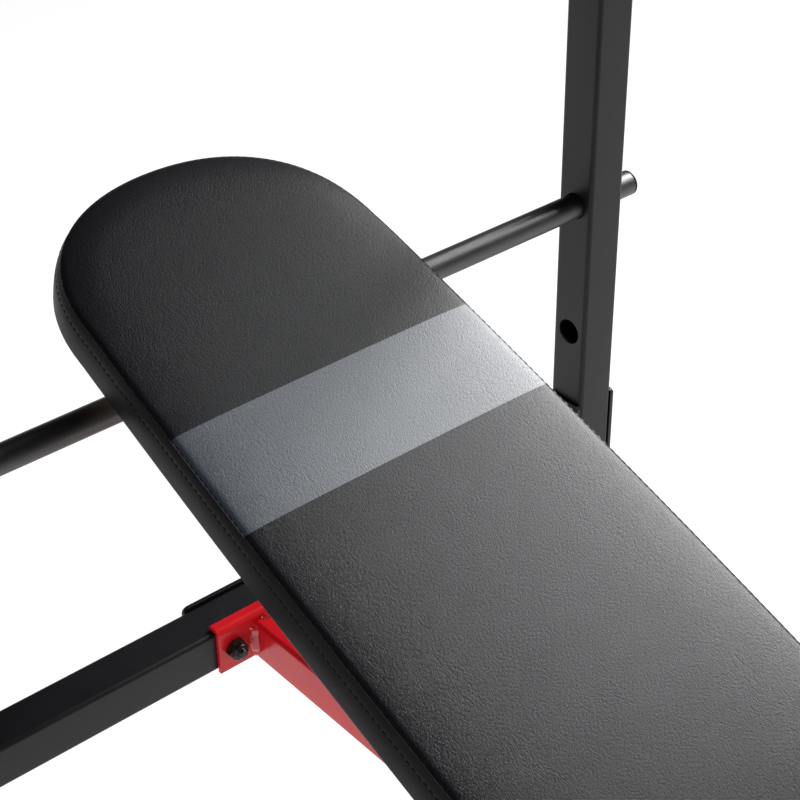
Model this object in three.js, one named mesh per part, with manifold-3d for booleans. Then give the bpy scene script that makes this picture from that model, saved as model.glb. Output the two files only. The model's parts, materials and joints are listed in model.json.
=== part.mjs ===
// Olympic bench press: two uprights with telescoping bar catches, a level main tube, a fixed seat,
// and a backrest that pivots behind the seat and lies on a round support bar.
// Millimetres, +Z up. X runs across the bench and Y runs from the seat towards the head.
// The floor is Z = 0, and the finished group is moved along Y to put its box's centre at Y = 0.

import * as THREE from "three";
import { mergeVertices } from "three/addons/utils/BufferGeometryUtils.js";
import Module from "manifold-3d";

const wasm = await Module();
wasm.setup();

// ---- Driving dimensions ----

const GAP = 0.3; // clearance between pieces that touch
const TUBE = 40; // square frame tube
const TUBE_RADIUS = 4;
const WALL = 2;
const PLATE = 4; // thickness of welded and bolted plates
const PLATE_LENGTH = 117;

const UPRIGHT_X = 388; // centre of each upright from the middle of the bench
const UPRIGHT_TOP = 880;
const CROSS_TOP = 370; // top of the tube between the uprights

const BAR_RADIUS = 11.4; // round support bar
const BAR_LENGTH = 877;
const BAR_HOLE_RADIUS = 12.2;
const BAR_Z = 613; // axis of the bar in the upper pair of holes
const HOLE_PITCH = 131; // drop to the lower pair of holes

const INCLINE = 20; // backrest angle on the upper holes, in degrees
const RAIL = 25; // square backrest rails
const RAIL_WALL = 1.8;
const RAIL_X = 46.5;
const FLAT_CLEARANCE = 3; // rail above the cross tube when the backrest lies flat

const PAD_HEAD = 140; // head end of the backrest pad, measured up the slope from the bar
const PAD_FOOT = -700; // lower end of the backrest pad
const PAD_HALF_HEAD = 135.5; // half width where the round head end starts
const HEAD_ROUND = 120; // length of the round head end
const HEAD_POWER = 2.25; // exponent of the head end's superellipse
const PAD_FOOT_RADIUS = 40;
const BOARD = 6.2; // plywood thickness
const RIM_RISE = 1.6; // the board stands this far below the pad's rim
const PAD_THICKNESS = 44; // rim to crown
const PAD_BEVEL = 4.5;
const SKIN = 2.5; // thickness of the pads' covers
const BOARD_INSET = 22;

const SEAT_LENGTH = 330;
const SEAT_WIDTH = 310;
const SEAT_BEHIND_PIVOT = 14; // from the pivot forward to the seat's rear edge

const FOOT_FRONT = -230; // side feet, measured from the bar's axis
const FOOT_REAR = 250;
const FRONT_FOOT_Y = -1010;
const FRONT_FOOT_LENGTH = 440;
const SOLE = 4; // tube above the floor, on the feet's caps
const MAIN_END = -1022;

const POST = 35; // square inner post
const POST_WALL = 1.8;
const POST_BOTTOM = 640;
const POST_TOP = 1000;
const CATCH_WIDTH = 45;
const CLAMP_Z = 846;

const BOLT_RADIUS = 5; // M10
const NUT_FLATS = 17;
const NUT_HEIGHT = 9.6;
const PIVOT_BOLT_RADIUS = 6; // M12

// ---- Derived places ----

const deg = Math.PI / 180;
const sin = Math.sin(INCLINE * deg);
const cos = Math.cos(INCLINE * deg);
const MAIN_TOP = CROSS_TOP - PLATE;
const CROSS_Z = CROSS_TOP - TUBE / 2;
const RAIL_LOW = BAR_RADIUS + GAP; // rail underside above the bar's axis, square to the slope
const PIVOT_N = RAIL_LOW + RAIL / 2;
const PIVOT_Z = CROSS_TOP + FLAT_CLEARANCE + RAIL / 2;
const PIVOT_S = (PIVOT_Z - BAR_Z - PIVOT_N * cos) / sin; // along the slope from the bar
const PIVOT_Y = PIVOT_S * cos - PIVOT_N * sin;
const PAD_LOW = RAIL / 2 + GAP + RIM_RISE; // pad rim above the pivot, square to the rails
const SEAT_REAR = PIVOT_Y - SEAT_BEHIND_PIVOT;
const SEAT_FRONT = SEAT_REAR - SEAT_LENGTH;
const CAP_END = 3; // end wall of a tube cap
const CAP_GROWTH = 2.6; // cap outside the tube, on each side

// ---- Materials ----

function paint(color, roughness, metalness = 0) {
  return new THREE.MeshStandardMaterial({ color, roughness, metalness });
}

const black = paint(0x2c2c2e, 0.5);
const red = paint(0xc4121c, 0.25);
const vinyl = paint(0x1d1e21, 0.5);
const plastic = paint(0x17171a, 0.55);
const foam = paint(0xb9b4a6, 0.95);
const plywood = paint(0x8d6e4a, 0.8);
const zinc = paint(0x1a1a1c, 0.35, 0.7);

// ---- Solids ----

function solidOf(geometry) {
  const plain = geometry.index ? geometry.toNonIndexed() : geometry.clone();
  plain.deleteAttribute("normal");
  plain.deleteAttribute("uv");
  const merged = mergeVertices(plain, 1e-4);
  return new wasm.Manifold(
    new wasm.Mesh({
      numProp: 3,
      vertProperties: merged.attributes.position.array,
      triVerts: new Uint32Array(merged.index.array),
    }),
  );
}

function geometryOf(solid) {
  const mesh = solid.getMesh();
  const geometry = new THREE.BufferGeometry();
  geometry.setAttribute("position", new THREE.BufferAttribute(mesh.vertProperties, 3));
  geometry.setIndex(new THREE.BufferAttribute(mesh.triVerts, 1));
  geometry.computeVertexNormals();
  return geometry;
}

function cut(geometry, cutters) {
  return geometryOf(cutters.reduce((left, cutter) => left.subtract(solidOf(cutter)), solidOf(geometry)));
}

function join(geometries) {
  return geometryOf(geometries.map(solidOf).reduce((whole, piece) => whole.add(piece)));
}

// ---- Outlines ----

function roundedRectangle(path, width, height, radius) {
  const x = width / 2 - radius;
  const y = height / 2 - radius;
  path.moveTo(width / 2, -y);
  path.absarc(x, y, radius, 0, 90 * deg);
  path.absarc(-x, y, radius, 90 * deg, 180 * deg);
  path.absarc(-x, -y, radius, 180 * deg, 270 * deg);
  path.absarc(x, -y, radius, 270 * deg, 360 * deg);
  return path;
}

function polygon(count, radius, turn = 0, x = 0, y = 0) {
  const points = [];
  for (let i = 0; i < count; i++) {
    const angle = (i / count) * 2 * Math.PI + turn;
    points.push(new THREE.Vector2(x + radius * Math.cos(angle), y + radius * Math.sin(angle)));
  }
  return points;
}

function roundHole(radius, x = 0, y = 0, count = 16) {
  return new THREE.Path(polygon(count, radius, 0, x, y));
}

// An extrusion centred on Z = 0, with its arcs in four steps per quarter turn.
function extrude(shape, depth) {
  const options = { depth, bevelEnabled: false, curveSegments: 2 };
  return new THREE.ExtrudeGeometry(shape, options).translate(0, 0, -depth / 2);
}

// The section of a square or oblong tube, with rounded corners inside and out.
function tubeSection(width, height, wall, radius) {
  const shape = roundedRectangle(new THREE.Shape(), width, height, radius);
  const inner = Math.max(radius - wall, 0.8);
  shape.holes.push(roundedRectangle(new THREE.Path(), width - 2 * wall, height - 2 * wall, inner));
  return shape;
}

function frameTube(length) {
  return extrude(tubeSection(TUBE, TUBE, WALL, TUBE_RADIUS), length);
}

// A flat plate in the XY plane with rounded corners and round holes at [x, y].
function plate(width, height, radius, holes, holeRadius = BOLT_RADIUS + 0.45) {
  const shape = roundedRectangle(new THREE.Shape(), width, height, radius);
  for (const [x, y] of holes) shape.holes.push(roundHole(holeRadius, x, y));
  return extrude(shape, PLATE);
}

function drill(radius, length, count = 16) {
  return new THREE.CylinderGeometry(radius, radius, length, count).rotateX(90 * deg);
}

// Turns a piece built along Z so that it runs along X or along Y.
function alongX(geometry) {
  return geometry.rotateY(90 * deg);
}

function alongY(geometry) {
  return geometry.rotateX(-90 * deg);
}

// ---- Fasteners, built along +Z with the bearing face at Z = 0 ----

// A mushroom-head bolt: the head lies below Z = 0 and the shank runs up.
function mushroomBolt(radius, length) {
  const head = radius * 2.1;
  const profile = [
    [0, -radius * 1.05],
    [head * 0.55, -radius * 0.9],
    [head * 0.88, -radius * 0.5],
    [head, -0.9],
    [head, 0],
    [radius, 0],
    [radius, length - 1.2],
    [radius - 1.2, length],
    [0, length],
  ];
  return new THREE.LatheGeometry(
    profile.map(([r, z]) => new THREE.Vector2(r, z)),
    16,
  ).rotateX(90 * deg);
}

// A hexagonal lock nut with a round collar for its insert.
function lockNut(flats, height, bore) {
  const corner = flats / 2 / Math.cos(30 * deg);
  const hex = new THREE.Shape(polygon(6, corner));
  hex.holes.push(roundHole(bore));
  const collar = new THREE.Shape(polygon(16, flats * 0.44));
  collar.holes.push(roundHole(bore));
  const body = extrude(hex, height * 0.72).translate(0, 0, height * 0.36);
  const ring = extrude(collar, height * 0.3).translate(0, 0, height * 0.85);
  return join([body, ring]);
}

// ---- Scene graph ----

const bench = new THREE.Group();
const backrest = new THREE.Group();
backrest.position.set(0, PIVOT_Y, PIVOT_Z);
backrest.rotation.x = INCLINE * deg;
bench.add(backrest);

function add(group, name, geometry, material, x = 0, y = 0, z = 0) {
  const mesh = new THREE.Mesh(geometry, material);
  mesh.name = name;
  mesh.position.set(x, y, z);
  group.add(mesh);
  return mesh;
}

const sides = [
  ["left", -1],
  ["right", 1],
];

// ---- Uprights, side feet and the tube between them ----

const BOLT_Z = PLATE_LENGTH / 2 - 16.5; // side bolts above and below the cross tube's middle
const FOOT_TOP = SOLE + TUBE;
const FRAME_BOLT_X = 41; // bolts of the red bracket

function upright() {
  const bottom = FOOT_TOP + GAP;
  const height = UPRIGHT_TOP - bottom;
  const middle = (UPRIGHT_TOP + bottom) / 2;
  const holes = [];
  for (const z of [BAR_Z, BAR_Z - HOLE_PITCH]) {
    holes.push(alongX(drill(BAR_HOLE_RADIUS, 2 * TUBE, 24)).translate(0, 0, z - middle));
  }
  for (const z of [CROSS_Z - BOLT_Z, CROSS_Z + BOLT_Z]) {
    holes.push(alongX(drill(BOLT_RADIUS + 0.45, 2 * TUBE)).translate(0, 0, z - middle));
  }
  holes.push(alongX(drill(BOLT_RADIUS + 0.6, TUBE)).translate(TUBE / 2, 0, CLAMP_Z - middle));
  return cut(frameTube(height), holes).translate(0, 0, middle);
}

// A cap over a tube's end at Y = 0, closed towards +Y, with a thicker sole that meets the floor.
function footCap() {
  const depth = 30;
  const size = TUBE + 2 * CAP_GROWTH;
  const tubeZ = SOLE + TUBE / 2;
  const top = tubeZ + size / 2;
  const outer = roundedRectangle(new THREE.Shape(), size, top, 5);
  const shell = alongY(extrude(outer, depth + CAP_END)).translate(0, (CAP_END - depth) / 2, top / 2);
  const inside = roundedRectangle(new THREE.Shape(), TUBE + 2 * GAP, TUBE + 2 * GAP, TUBE_RADIUS);
  const hollow = alongY(extrude(inside, 2 * depth)).translate(0, GAP - depth, tubeZ);
  return cut(shell, [hollow]);
}

// The guide sleeve at the top of an upright: it caps the tube and lets the post through.
function collar() {
  const size = TUBE + 2 * CAP_GROWTH;
  const top = 5;
  const skirt = 20;
  const outer = extrude(roundedRectangle(new THREE.Shape(), size, size, 6), top + skirt);
  const tube = roundedRectangle(new THREE.Shape(), TUBE + 2 * GAP, TUBE + 2 * GAP, TUBE_RADIUS);
  const opening = roundedRectangle(new THREE.Shape(), POST + 0.8, POST + 0.8, 3);
  return cut(outer.translate(0, 0, (top - skirt) / 2), [
    extrude(tube, 2 * skirt).translate(0, 0, GAP - skirt),
    extrude(opening, 4 * skirt),
  ]);
}

for (const [side, sign] of sides) {
  const x = sign * UPRIGHT_X;
  add(bench, `upright_${side}`, sign > 0 ? upright() : upright().rotateZ(Math.PI), black, x);
  add(bench, `upright_collar_${side}`, collar(), plastic, x, 0, UPRIGHT_TOP);

  const footLength = FOOT_REAR - FOOT_FRONT;
  const foot = alongY(frameTube(footLength));
  add(bench, `side_foot_${side}`, foot, black, x, (FOOT_REAR + FOOT_FRONT) / 2, SOLE + TUBE / 2);
  add(bench, `foot_cap_${side}_rear`, footCap(), plastic, x, FOOT_REAR);
  add(bench, `foot_cap_${side}_front`, footCap().rotateZ(Math.PI), plastic, x, FOOT_FRONT);

  const holes = [
    [-BOLT_Z, 0],
    [BOLT_Z, 0],
  ];
  for (const [name, face] of [
    ["outer_plate", TUBE / 2 + GAP + PLATE / 2],
    ["cross_end_plate", -TUBE / 2 - GAP - PLATE / 2],
  ]) {
    const geometry = alongX(plate(PLATE_LENGTH, TUBE, 4, holes));
    add(bench, `${name}_${side}`, geometry, black, x + sign * face, 0, CROSS_Z);
  }

  const head = TUBE / 2 + 2 * GAP + PLATE;
  const nut = TUBE / 2 + 2 * GAP + PLATE;
  const length = head + nut + NUT_HEIGHT + 3.5;
  for (const [level, step] of [
    ["upper", 1],
    ["lower", -1],
  ]) {
    const z = CROSS_Z + step * BOLT_Z;
    const bolt = mushroomBolt(BOLT_RADIUS, length).rotateY(-sign * 90 * deg);
    add(bench, `side_bolt_${side}_${level}`, bolt, zinc, x + sign * head, 0, z);
    const lock = lockNut(NUT_FLATS, NUT_HEIGHT, BOLT_RADIUS + GAP + 0.1).rotateY(-sign * 90 * deg);
    add(bench, `side_nut_${side}_${level}`, lock, zinc, x - sign * nut, 0, z);
  }
}

function crossTube() {
  const length = 2 * (UPRIGHT_X - TUBE / 2 - PLATE - 2 * GAP);
  const holes = [-FRAME_BOLT_X, FRAME_BOLT_X].map((x) =>
    alongY(drill(BOLT_RADIUS + 0.45, 2 * TUBE)).translate(x, 0, 0),
  );
  return cut(alongX(frameTube(length)), holes);
}

add(bench, "cross_tube", crossTube(), black, 0, 0, CROSS_Z);

// ---- Red bracket, its backing plate, bolts and the main tube ----

const BRACKET_LENGTH = 114;
const BRACKET_HEIGHT = 45.6;
const BRACKET_LIP = 12; // depth of the bracket's top flange
const BRACKET_BEND = 5; // outside radius of its bend

// An angle with its corner at the origin: the front flange hangs down and the top flange runs to +Y.
function bracketSection() {
  const shape = new THREE.Shape();
  shape.moveTo(0, -BRACKET_HEIGHT);
  shape.lineTo(PLATE, -BRACKET_HEIGHT);
  shape.lineTo(PLATE, -PLATE);
  shape.lineTo(BRACKET_LIP, -PLATE);
  shape.lineTo(BRACKET_LIP, 0);
  shape.lineTo(BRACKET_BEND, 0);
  shape.absarc(BRACKET_BEND, -BRACKET_BEND, BRACKET_BEND, 90 * deg, 180 * deg);
  return shape;
}

function frameBracket() {
  const angle = extrude(bracketSection(), BRACKET_LENGTH).rotateX(90 * deg).rotateZ(90 * deg);
  const holes = [-FRAME_BOLT_X, FRAME_BOLT_X].map((x) =>
    alongY(drill(BOLT_RADIUS + 0.45, 4 * PLATE)).translate(x, 0, -PLATE - GAP - TUBE / 2),
  );
  return cut(angle, holes);
}

const BRACKET_FRONT = -TUBE / 2 - GAP - PLATE;
const REAR_FACE = TUBE / 2 + GAP + PLATE;

add(bench, "frame_bracket", frameBracket(), red, 0, BRACKET_FRONT, CROSS_TOP + GAP + PLATE);

const REAR_PLATE_HEIGHT = 43;
const rearPlate = alongY(
  plate(PLATE_LENGTH + 4, REAR_PLATE_HEIGHT, 6, [
    [-FRAME_BOLT_X, 0],
    [FRAME_BOLT_X, 0],
  ]),
);
add(bench, "rear_plate", rearPlate, black, 0, REAR_FACE - PLATE / 2, CROSS_Z);

for (const [side, sign] of sides) {
  const x = sign * FRAME_BOLT_X;
  const length = REAR_FACE - BRACKET_FRONT + 2 * GAP + NUT_HEIGHT + 3.5;
  const bolt = mushroomBolt(BOLT_RADIUS, length).rotateX(90 * deg);
  add(bench, `frame_bolt_${side}`, bolt, zinc, x, REAR_FACE + GAP, CROSS_Z);
  const nut = lockNut(NUT_FLATS, NUT_HEIGHT, BOLT_RADIUS + GAP + 0.1).rotateX(90 * deg);
  add(bench, `frame_nut_${side}`, nut, zinc, x, BRACKET_FRONT - GAP, CROSS_Z);
}

const MAIN_START = BRACKET_FRONT - GAP;
const mainTube = alongY(frameTube(MAIN_START - MAIN_END));
add(bench, "main_tube", mainTube, red, 0, (MAIN_START + MAIN_END) / 2, MAIN_TOP - TUBE / 2);

// A plug for the open end of the main tube: a domed face and a shorter spigot inside the tube.
function endPlug() {
  const face = roundedRectangle(new THREE.Shape(), TUBE, TUBE, TUBE_RADIUS);
  const spigot = roundedRectangle(new THREE.Shape(), TUBE - 2 * WALL - 1, TUBE - 2 * WALL - 1, 2);
  return join([
    extrude(face, 3).translate(0, 0, 1.5 + GAP),
    extrude(spigot, 14).translate(0, 0, -6),
  ]).rotateX(90 * deg);
}

add(bench, "main_tube_plug", endPlug(), plastic, 0, MAIN_END, MAIN_TOP - TUBE / 2);

// ---- Front leg and foot ----

const LEG_BOTTOM = FOOT_TOP + GAP;
const LEG_TOP = MAIN_TOP - TUBE - GAP;
const LEG_TOP_Y = -955;
const LEG_LEAN = (LEG_TOP_Y - FRONT_FOOT_Y) / (LEG_TOP - LEG_BOTTOM);

const legGeometry = frameTube(LEG_TOP - LEG_BOTTOM);
legGeometry.applyMatrix4(new THREE.Matrix4().makeShear(0, 0, 0, 0, 0, LEG_LEAN));
const LEG_Y = (LEG_TOP_Y + FRONT_FOOT_Y) / 2;
add(bench, "front_leg", legGeometry, black, 0, LEG_Y, (LEG_TOP + LEG_BOTTOM) / 2);

const frontFoot = alongX(frameTube(FRONT_FOOT_LENGTH));
add(bench, "front_foot", frontFoot, black, 0, FRONT_FOOT_Y, SOLE + TUBE / 2);
for (const [side, sign] of sides) {
  const cap = footCap().rotateZ(-sign * 90 * deg);
  add(bench, `front_foot_cap_${side}`, cap, plastic, (sign * FRONT_FOOT_LENGTH) / 2, FRONT_FOOT_Y);
}

// ---- Pivot between the main tube and the backrest ----

const EAR_X = RAIL_X - RAIL / 2 - 1; // outer face of the bracket's ears
const EAR_HALF = 16;

function pivotBracket() {
  const ear = new THREE.Shape();
  const base = MAIN_TOP + GAP - PIVOT_Z;
  ear.moveTo(-EAR_HALF, base);
  ear.lineTo(EAR_HALF, base);
  ear.lineTo(12, 4);
  ear.absarc(0, 0, 13, 18 * deg, 162 * deg);
  ear.lineTo(-12, 4);
  ear.holes.push(roundHole(PIVOT_BOLT_RADIUS + 0.45));
  const ears = [-1, 1].map((sign) =>
    extrude(ear, PLATE)
      .rotateX(90 * deg)
      .rotateZ(90 * deg)
      .translate(sign * (EAR_X - PLATE / 2), 0, 0),
  );
  const floor = new THREE.BoxGeometry(2 * EAR_X, 2 * EAR_HALF, PLATE);
  return join([...ears, floor.translate(0, 0, base + PLATE / 2)]);
}

add(bench, "pivot_bracket", pivotBracket(), red, 0, PIVOT_Y, PIVOT_Z);

const PIVOT_NUT_HEIGHT = 11;
const PIVOT_HEAD_X = RAIL_X + RAIL / 2 + 0.6;
const pivotLength = 2 * PIVOT_HEAD_X + PIVOT_NUT_HEIGHT + 3;
const pivotBolt = mushroomBolt(PIVOT_BOLT_RADIUS, pivotLength).rotateY(90 * deg);
add(bench, "pivot_bolt", pivotBolt, zinc, -PIVOT_HEAD_X, PIVOT_Y, PIVOT_Z);
const pivotNut = lockNut(19, PIVOT_NUT_HEIGHT, PIVOT_BOLT_RADIUS + GAP + 0.1).rotateY(90 * deg);
add(bench, "pivot_nut", pivotNut, zinc, PIVOT_HEAD_X, PIVOT_Y, PIVOT_Z);

// ---- Pads ----

// Half the backrest pad's width at distance s up the slope from the bar: widest two thirds of the way down.
function padHalfWidth(s) {
  const t = (PAD_HEAD - HEAD_ROUND - s) / (PAD_HEAD - HEAD_ROUND - PAD_FOOT);
  return PAD_HALF_HEAD + 32.9 * t - 24.6 * t * t;
}

// The backrest pad's outline, in slope distances from the pivot, drawn in by `inset`.
function backrestOutline(inset) {
  const points = [];
  const start = PAD_HEAD - HEAD_ROUND;
  const half = PAD_HALF_HEAD - inset;
  const round = HEAD_ROUND - inset;
  const steps = 24;
  for (let i = 0; i <= steps; i++) {
    const angle = (i / steps) * Math.PI;
    const c = Math.cos(angle);
    const x = half * Math.sign(c) * Math.abs(c) ** (2 / HEAD_POWER);
    points.push(new THREE.Vector2(x, start + round * Math.sin(angle) ** (2 / HEAD_POWER)));
  }
  const low = PAD_FOOT + inset;
  const radius = PAD_FOOT_RADIUS - inset / 2;
  const side = [];
  for (const s of [-120, -240, -360, -480, -590]) side.push([padHalfWidth(s) - inset, s]);
  const corner = padHalfWidth(PAD_FOOT) - inset - radius;
  for (let i = 0; i <= 6; i++) {
    const angle = (i / 6) * 90 * deg;
    side.push([corner + radius * Math.cos(angle), low + radius - radius * Math.sin(angle)]);
  }
  for (const [x, s] of side) points.push(new THREE.Vector2(-x, s));
  for (const [x, s] of side.reverse()) points.push(new THREE.Vector2(x, s));
  for (const point of points) point.y -= PIVOT_S;
  return new THREE.Shape(points);
}

function seatOutline(inset) {
  const shape = new THREE.Shape();
  return roundedRectangle(shape, SEAT_WIDTH - 2 * inset, SEAT_LENGTH - 2 * inset, 42 - inset / 2);
}

// The cover wraps over the top and sides and turns in under the rim, which is at Z = 0.
function padCover(outline) {
  const options = {
    depth: PAD_THICKNESS - 2 * PAD_BEVEL,
    bevelThickness: PAD_BEVEL,
    bevelSize: PAD_BEVEL,
    bevelOffset: -PAD_BEVEL,
    bevelSegments: 2,
    curveSegments: 3,
  };
  const outside = new THREE.ExtrudeGeometry(outline(0), options).translate(0, 0, PAD_BEVEL);
  const inside = extrude(outline(SKIN), PAD_THICKNESS - 2 * SKIN).translate(0, 0, PAD_THICKNESS / 2);
  const opening = extrude(outline(BOARD_INSET - GAP), 4 * SKIN);
  return cut(outside, [inside, opening]);
}

function padFoam(outline) {
  const inset = SKIN + GAP;
  const block = extrude(outline(inset), PAD_THICKNESS - 2 * inset).translate(0, 0, PAD_THICKNESS / 2);
  const pocket = extrude(outline(BOARD_INSET - GAP), 2 * (BOARD - RIM_RISE + GAP));
  return cut(block, [pocket]);
}

function padBoard(outline) {
  return extrude(outline(BOARD_INSET), BOARD).translate(0, 0, BOARD / 2 - RIM_RISE);
}

// The three pieces of a pad, with its rim at height z in the group.
function addPad(group, name, outline, y, z) {
  add(group, `${name}_cover`, padCover(outline), vinyl, 0, y, z);
  add(group, `${name}_foam`, padFoam(outline), foam, 0, y, z);
  add(group, `${name}_board`, padBoard(outline), plywood, 0, y, z);
}

addPad(backrest, "backrest", backrestOutline, 0, PAD_LOW);

const SEAT_Y = (SEAT_REAR + SEAT_FRONT) / 2;
const SEAT_LOW = PIVOT_Z + PAD_LOW;
addPad(bench, "seat", seatOutline, SEAT_Y, SEAT_LOW);

// ---- Backrest rails and their brace ----

const RAIL_END = 14; // rail behind the pivot
const RAIL_HEAD = 62 - PIVOT_S; // rail towards the head, from the pivot
const BRACE_Y = -70 - PIVOT_S;

for (const [side, sign] of sides) {
  const length = RAIL_END + RAIL_HEAD;
  const tube = alongY(extrude(tubeSection(RAIL, RAIL, RAIL_WALL, 3), length));
  tube.translate(0, (RAIL_HEAD - RAIL_END) / 2, 0);
  const rail = cut(tube, [alongX(drill(PIVOT_BOLT_RADIUS + 0.45, 2 * RAIL))]);
  add(backrest, `backrest_rail_${side}`, rail, black, sign * RAIL_X);
}

const braceLength = 2 * (RAIL_X - RAIL / 2 - GAP);
const brace = alongX(extrude(tubeSection(RAIL, RAIL, RAIL_WALL, 3), braceLength));
add(backrest, "backrest_brace", brace, black, 0, BRACE_Y, 0);

// ---- Seat brackets: inverted channels across the main tube ----

const SEAT_BRACKET_LENGTH = 220;
const SEAT_BRACKET_DEPTH = 44;

function seatBracket() {
  const height = SEAT_LOW - RIM_RISE - GAP - MAIN_TOP - GAP;
  const wall = 3;
  const half = SEAT_BRACKET_DEPTH / 2;
  const shape = new THREE.Shape();
  shape.moveTo(-half, 0);
  shape.lineTo(-half + wall, 0);
  shape.lineTo(-half + wall, height - wall);
  shape.lineTo(half - wall, height - wall);
  shape.lineTo(half - wall, 0);
  shape.lineTo(half, 0);
  shape.lineTo(half, height - wall);
  shape.absarc(half - wall, height - wall, wall, 0, 90 * deg);
  shape.absarc(wall - half, height - wall, wall, 90 * deg, 180 * deg);
  return extrude(shape, SEAT_BRACKET_LENGTH).rotateX(90 * deg).rotateZ(90 * deg);
}

for (const [place, offset] of [
  ["rear", SEAT_LENGTH * 0.28],
  ["front", -SEAT_LENGTH * 0.28],
]) {
  add(bench, `seat_bracket_${place}`, seatBracket(), black, 0, SEAT_Y + offset, MAIN_TOP + GAP);
}

// ---- Round support bar ----

const PLUG_DEPTH = 16;
const barLength = BAR_LENGTH - 8;

function supportBar() {
  const ring = new THREE.Shape(polygon(24, BAR_RADIUS));
  ring.holes.push(roundHole(BAR_RADIUS - 1.6, 0, 0, 24));
  return alongX(extrude(ring, barLength));
}

// A plug with a domed end that closes the bar, built along +Z from the bar's end.
function barPlug() {
  const inner = BAR_RADIUS - 2;
  const profile = [
    [0, -PLUG_DEPTH],
    [inner, -PLUG_DEPTH],
    [inner, GAP],
    [BAR_RADIUS, GAP],
    [BAR_RADIUS, 1.6],
    [BAR_RADIUS * 0.86, 3.2],
    [BAR_RADIUS * 0.5, 4],
    [0, 4.2],
  ];
  return new THREE.LatheGeometry(
    profile.map(([r, z]) => new THREE.Vector2(r, z)),
    24,
  ).rotateX(90 * deg);
}

add(bench, "support_bar", supportBar(), black, 0, 0, BAR_Z);
for (const [side, sign] of sides) {
  const plug = barPlug().rotateY(sign * 90 * deg);
  add(bench, `support_bar_plug_${side}`, plug, plastic, (sign * barLength) / 2, 0, BAR_Z);
}

// ---- Telescoping posts, bar catches and clamp knobs ----

// A bent plate that holds the barbell: low flared lip on the foot side, tall back on the head side.
function barCatch() {
  const inside = 22;
  const thickness = 6;
  const outside = inside + thickness;
  const bend = 10;
  const backTop = 86;
  const lipTop = 46;
  const shape = new THREE.Shape();
  shape.moveTo(outside, backTop);
  shape.lineTo(inside, backTop);
  shape.lineTo(inside, bend + thickness);
  shape.absarc(inside - bend, bend + thickness, bend, 0, -90 * deg, true);
  shape.lineTo(bend - inside, thickness);
  shape.absarc(bend - inside, bend + thickness, bend, -90 * deg, -180 * deg, true);
  shape.lineTo(-inside, lipTop);
  shape.lineTo(-inside - 12, lipTop + 20);
  shape.lineTo(-outside - 11, lipTop + 17);
  shape.lineTo(-outside, lipTop);
  shape.lineTo(-outside, bend + thickness);
  shape.absarc(bend - inside, bend + thickness, bend + thickness, 180 * deg, 270 * deg);
  shape.lineTo(inside - bend, 0);
  shape.absarc(inside - bend, bend + thickness, bend + thickness, 270 * deg, 360 * deg);
  return extrude(shape, CATCH_WIDTH).rotateX(90 * deg).rotateZ(90 * deg);
}

const KNOB_LOBES = 5;
const KNOB_HEIGHT = 20;
const BOSS_LENGTH = 10;

// A lobed hand knob with its clamp screw, built along +Z with the post's face at Z = 0.
function clampKnob(screwLength) {
  const points = [];
  const count = 40;
  for (let i = 0; i < count; i++) {
    const angle = (i / count) * 2 * Math.PI;
    const r = 21.5 + 3 * Math.cos(KNOB_LOBES * angle);
    points.push(new THREE.Vector2(r * Math.cos(angle), r * Math.sin(angle)));
  }
  const bevel = 2;
  const grip = new THREE.ExtrudeGeometry(new THREE.Shape(points), {
    depth: KNOB_HEIGHT - 2 * bevel,
    bevelThickness: bevel,
    bevelSize: bevel,
    bevelOffset: -bevel,
    bevelSegments: 2,
  });
  const hub = new THREE.CylinderGeometry(13, 11, 7, 24).rotateX(90 * deg);
  const screw = drill(BOLT_RADIUS, screwLength + 4);
  return join([
    screw.translate(0, 0, screwLength / 2 + 2),
    hub.translate(0, 0, screwLength + 2.5),
    grip.translate(0, 0, screwLength + 5 + bevel),
  ]);
}

function clampBoss() {
  const ring = new THREE.Shape(polygon(24, 12));
  ring.holes.push(roundHole(BOLT_RADIUS + 0.45));
  return extrude(ring, BOSS_LENGTH);
}

for (const [side, sign] of sides) {
  const x = sign * UPRIGHT_X;
  const post = extrude(tubeSection(POST, POST, POST_WALL, 3.5), POST_TOP - POST_BOTTOM);
  add(bench, `catch_post_${side}`, post, black, x, 0, (POST_TOP + POST_BOTTOM) / 2);
  add(bench, `bar_catch_${side}`, barCatch(), black, x, 0, POST_TOP + GAP);

  const boss = TUBE / 2 + GAP + BOSS_LENGTH / 2;
  add(bench, `clamp_boss_${side}`, alongX(clampBoss()), black, x + sign * boss, 0, CLAMP_Z);
  const screwStart = POST / 2 + GAP;
  const screwLength = TUBE / 2 + GAP + BOSS_LENGTH + 1.5 - screwStart;
  const knob = clampKnob(screwLength).rotateY(sign * 90 * deg);
  add(bench, `clamp_knob_${side}`, knob, plastic, x + sign * screwStart, 0, CLAMP_Z);
}

// ---- Origin under the middle of the whole bench ----

const REAR_END = FOOT_REAR + CAP_END;
const whole = new THREE.Group();
bench.position.y = -(REAR_END + SEAT_FRONT) / 2;
whole.add(bench);

export default whole;
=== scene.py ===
"""The looks of the olympic bench press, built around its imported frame.

Metres, +Z up. X runs across the bench and Y runs from the seat towards the head.
"""

import json
import math

import bmesh
import bpy
import numpy as np
from mathutils import Matrix, Vector, noise
from mathutils.kdtree import KDTree


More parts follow.
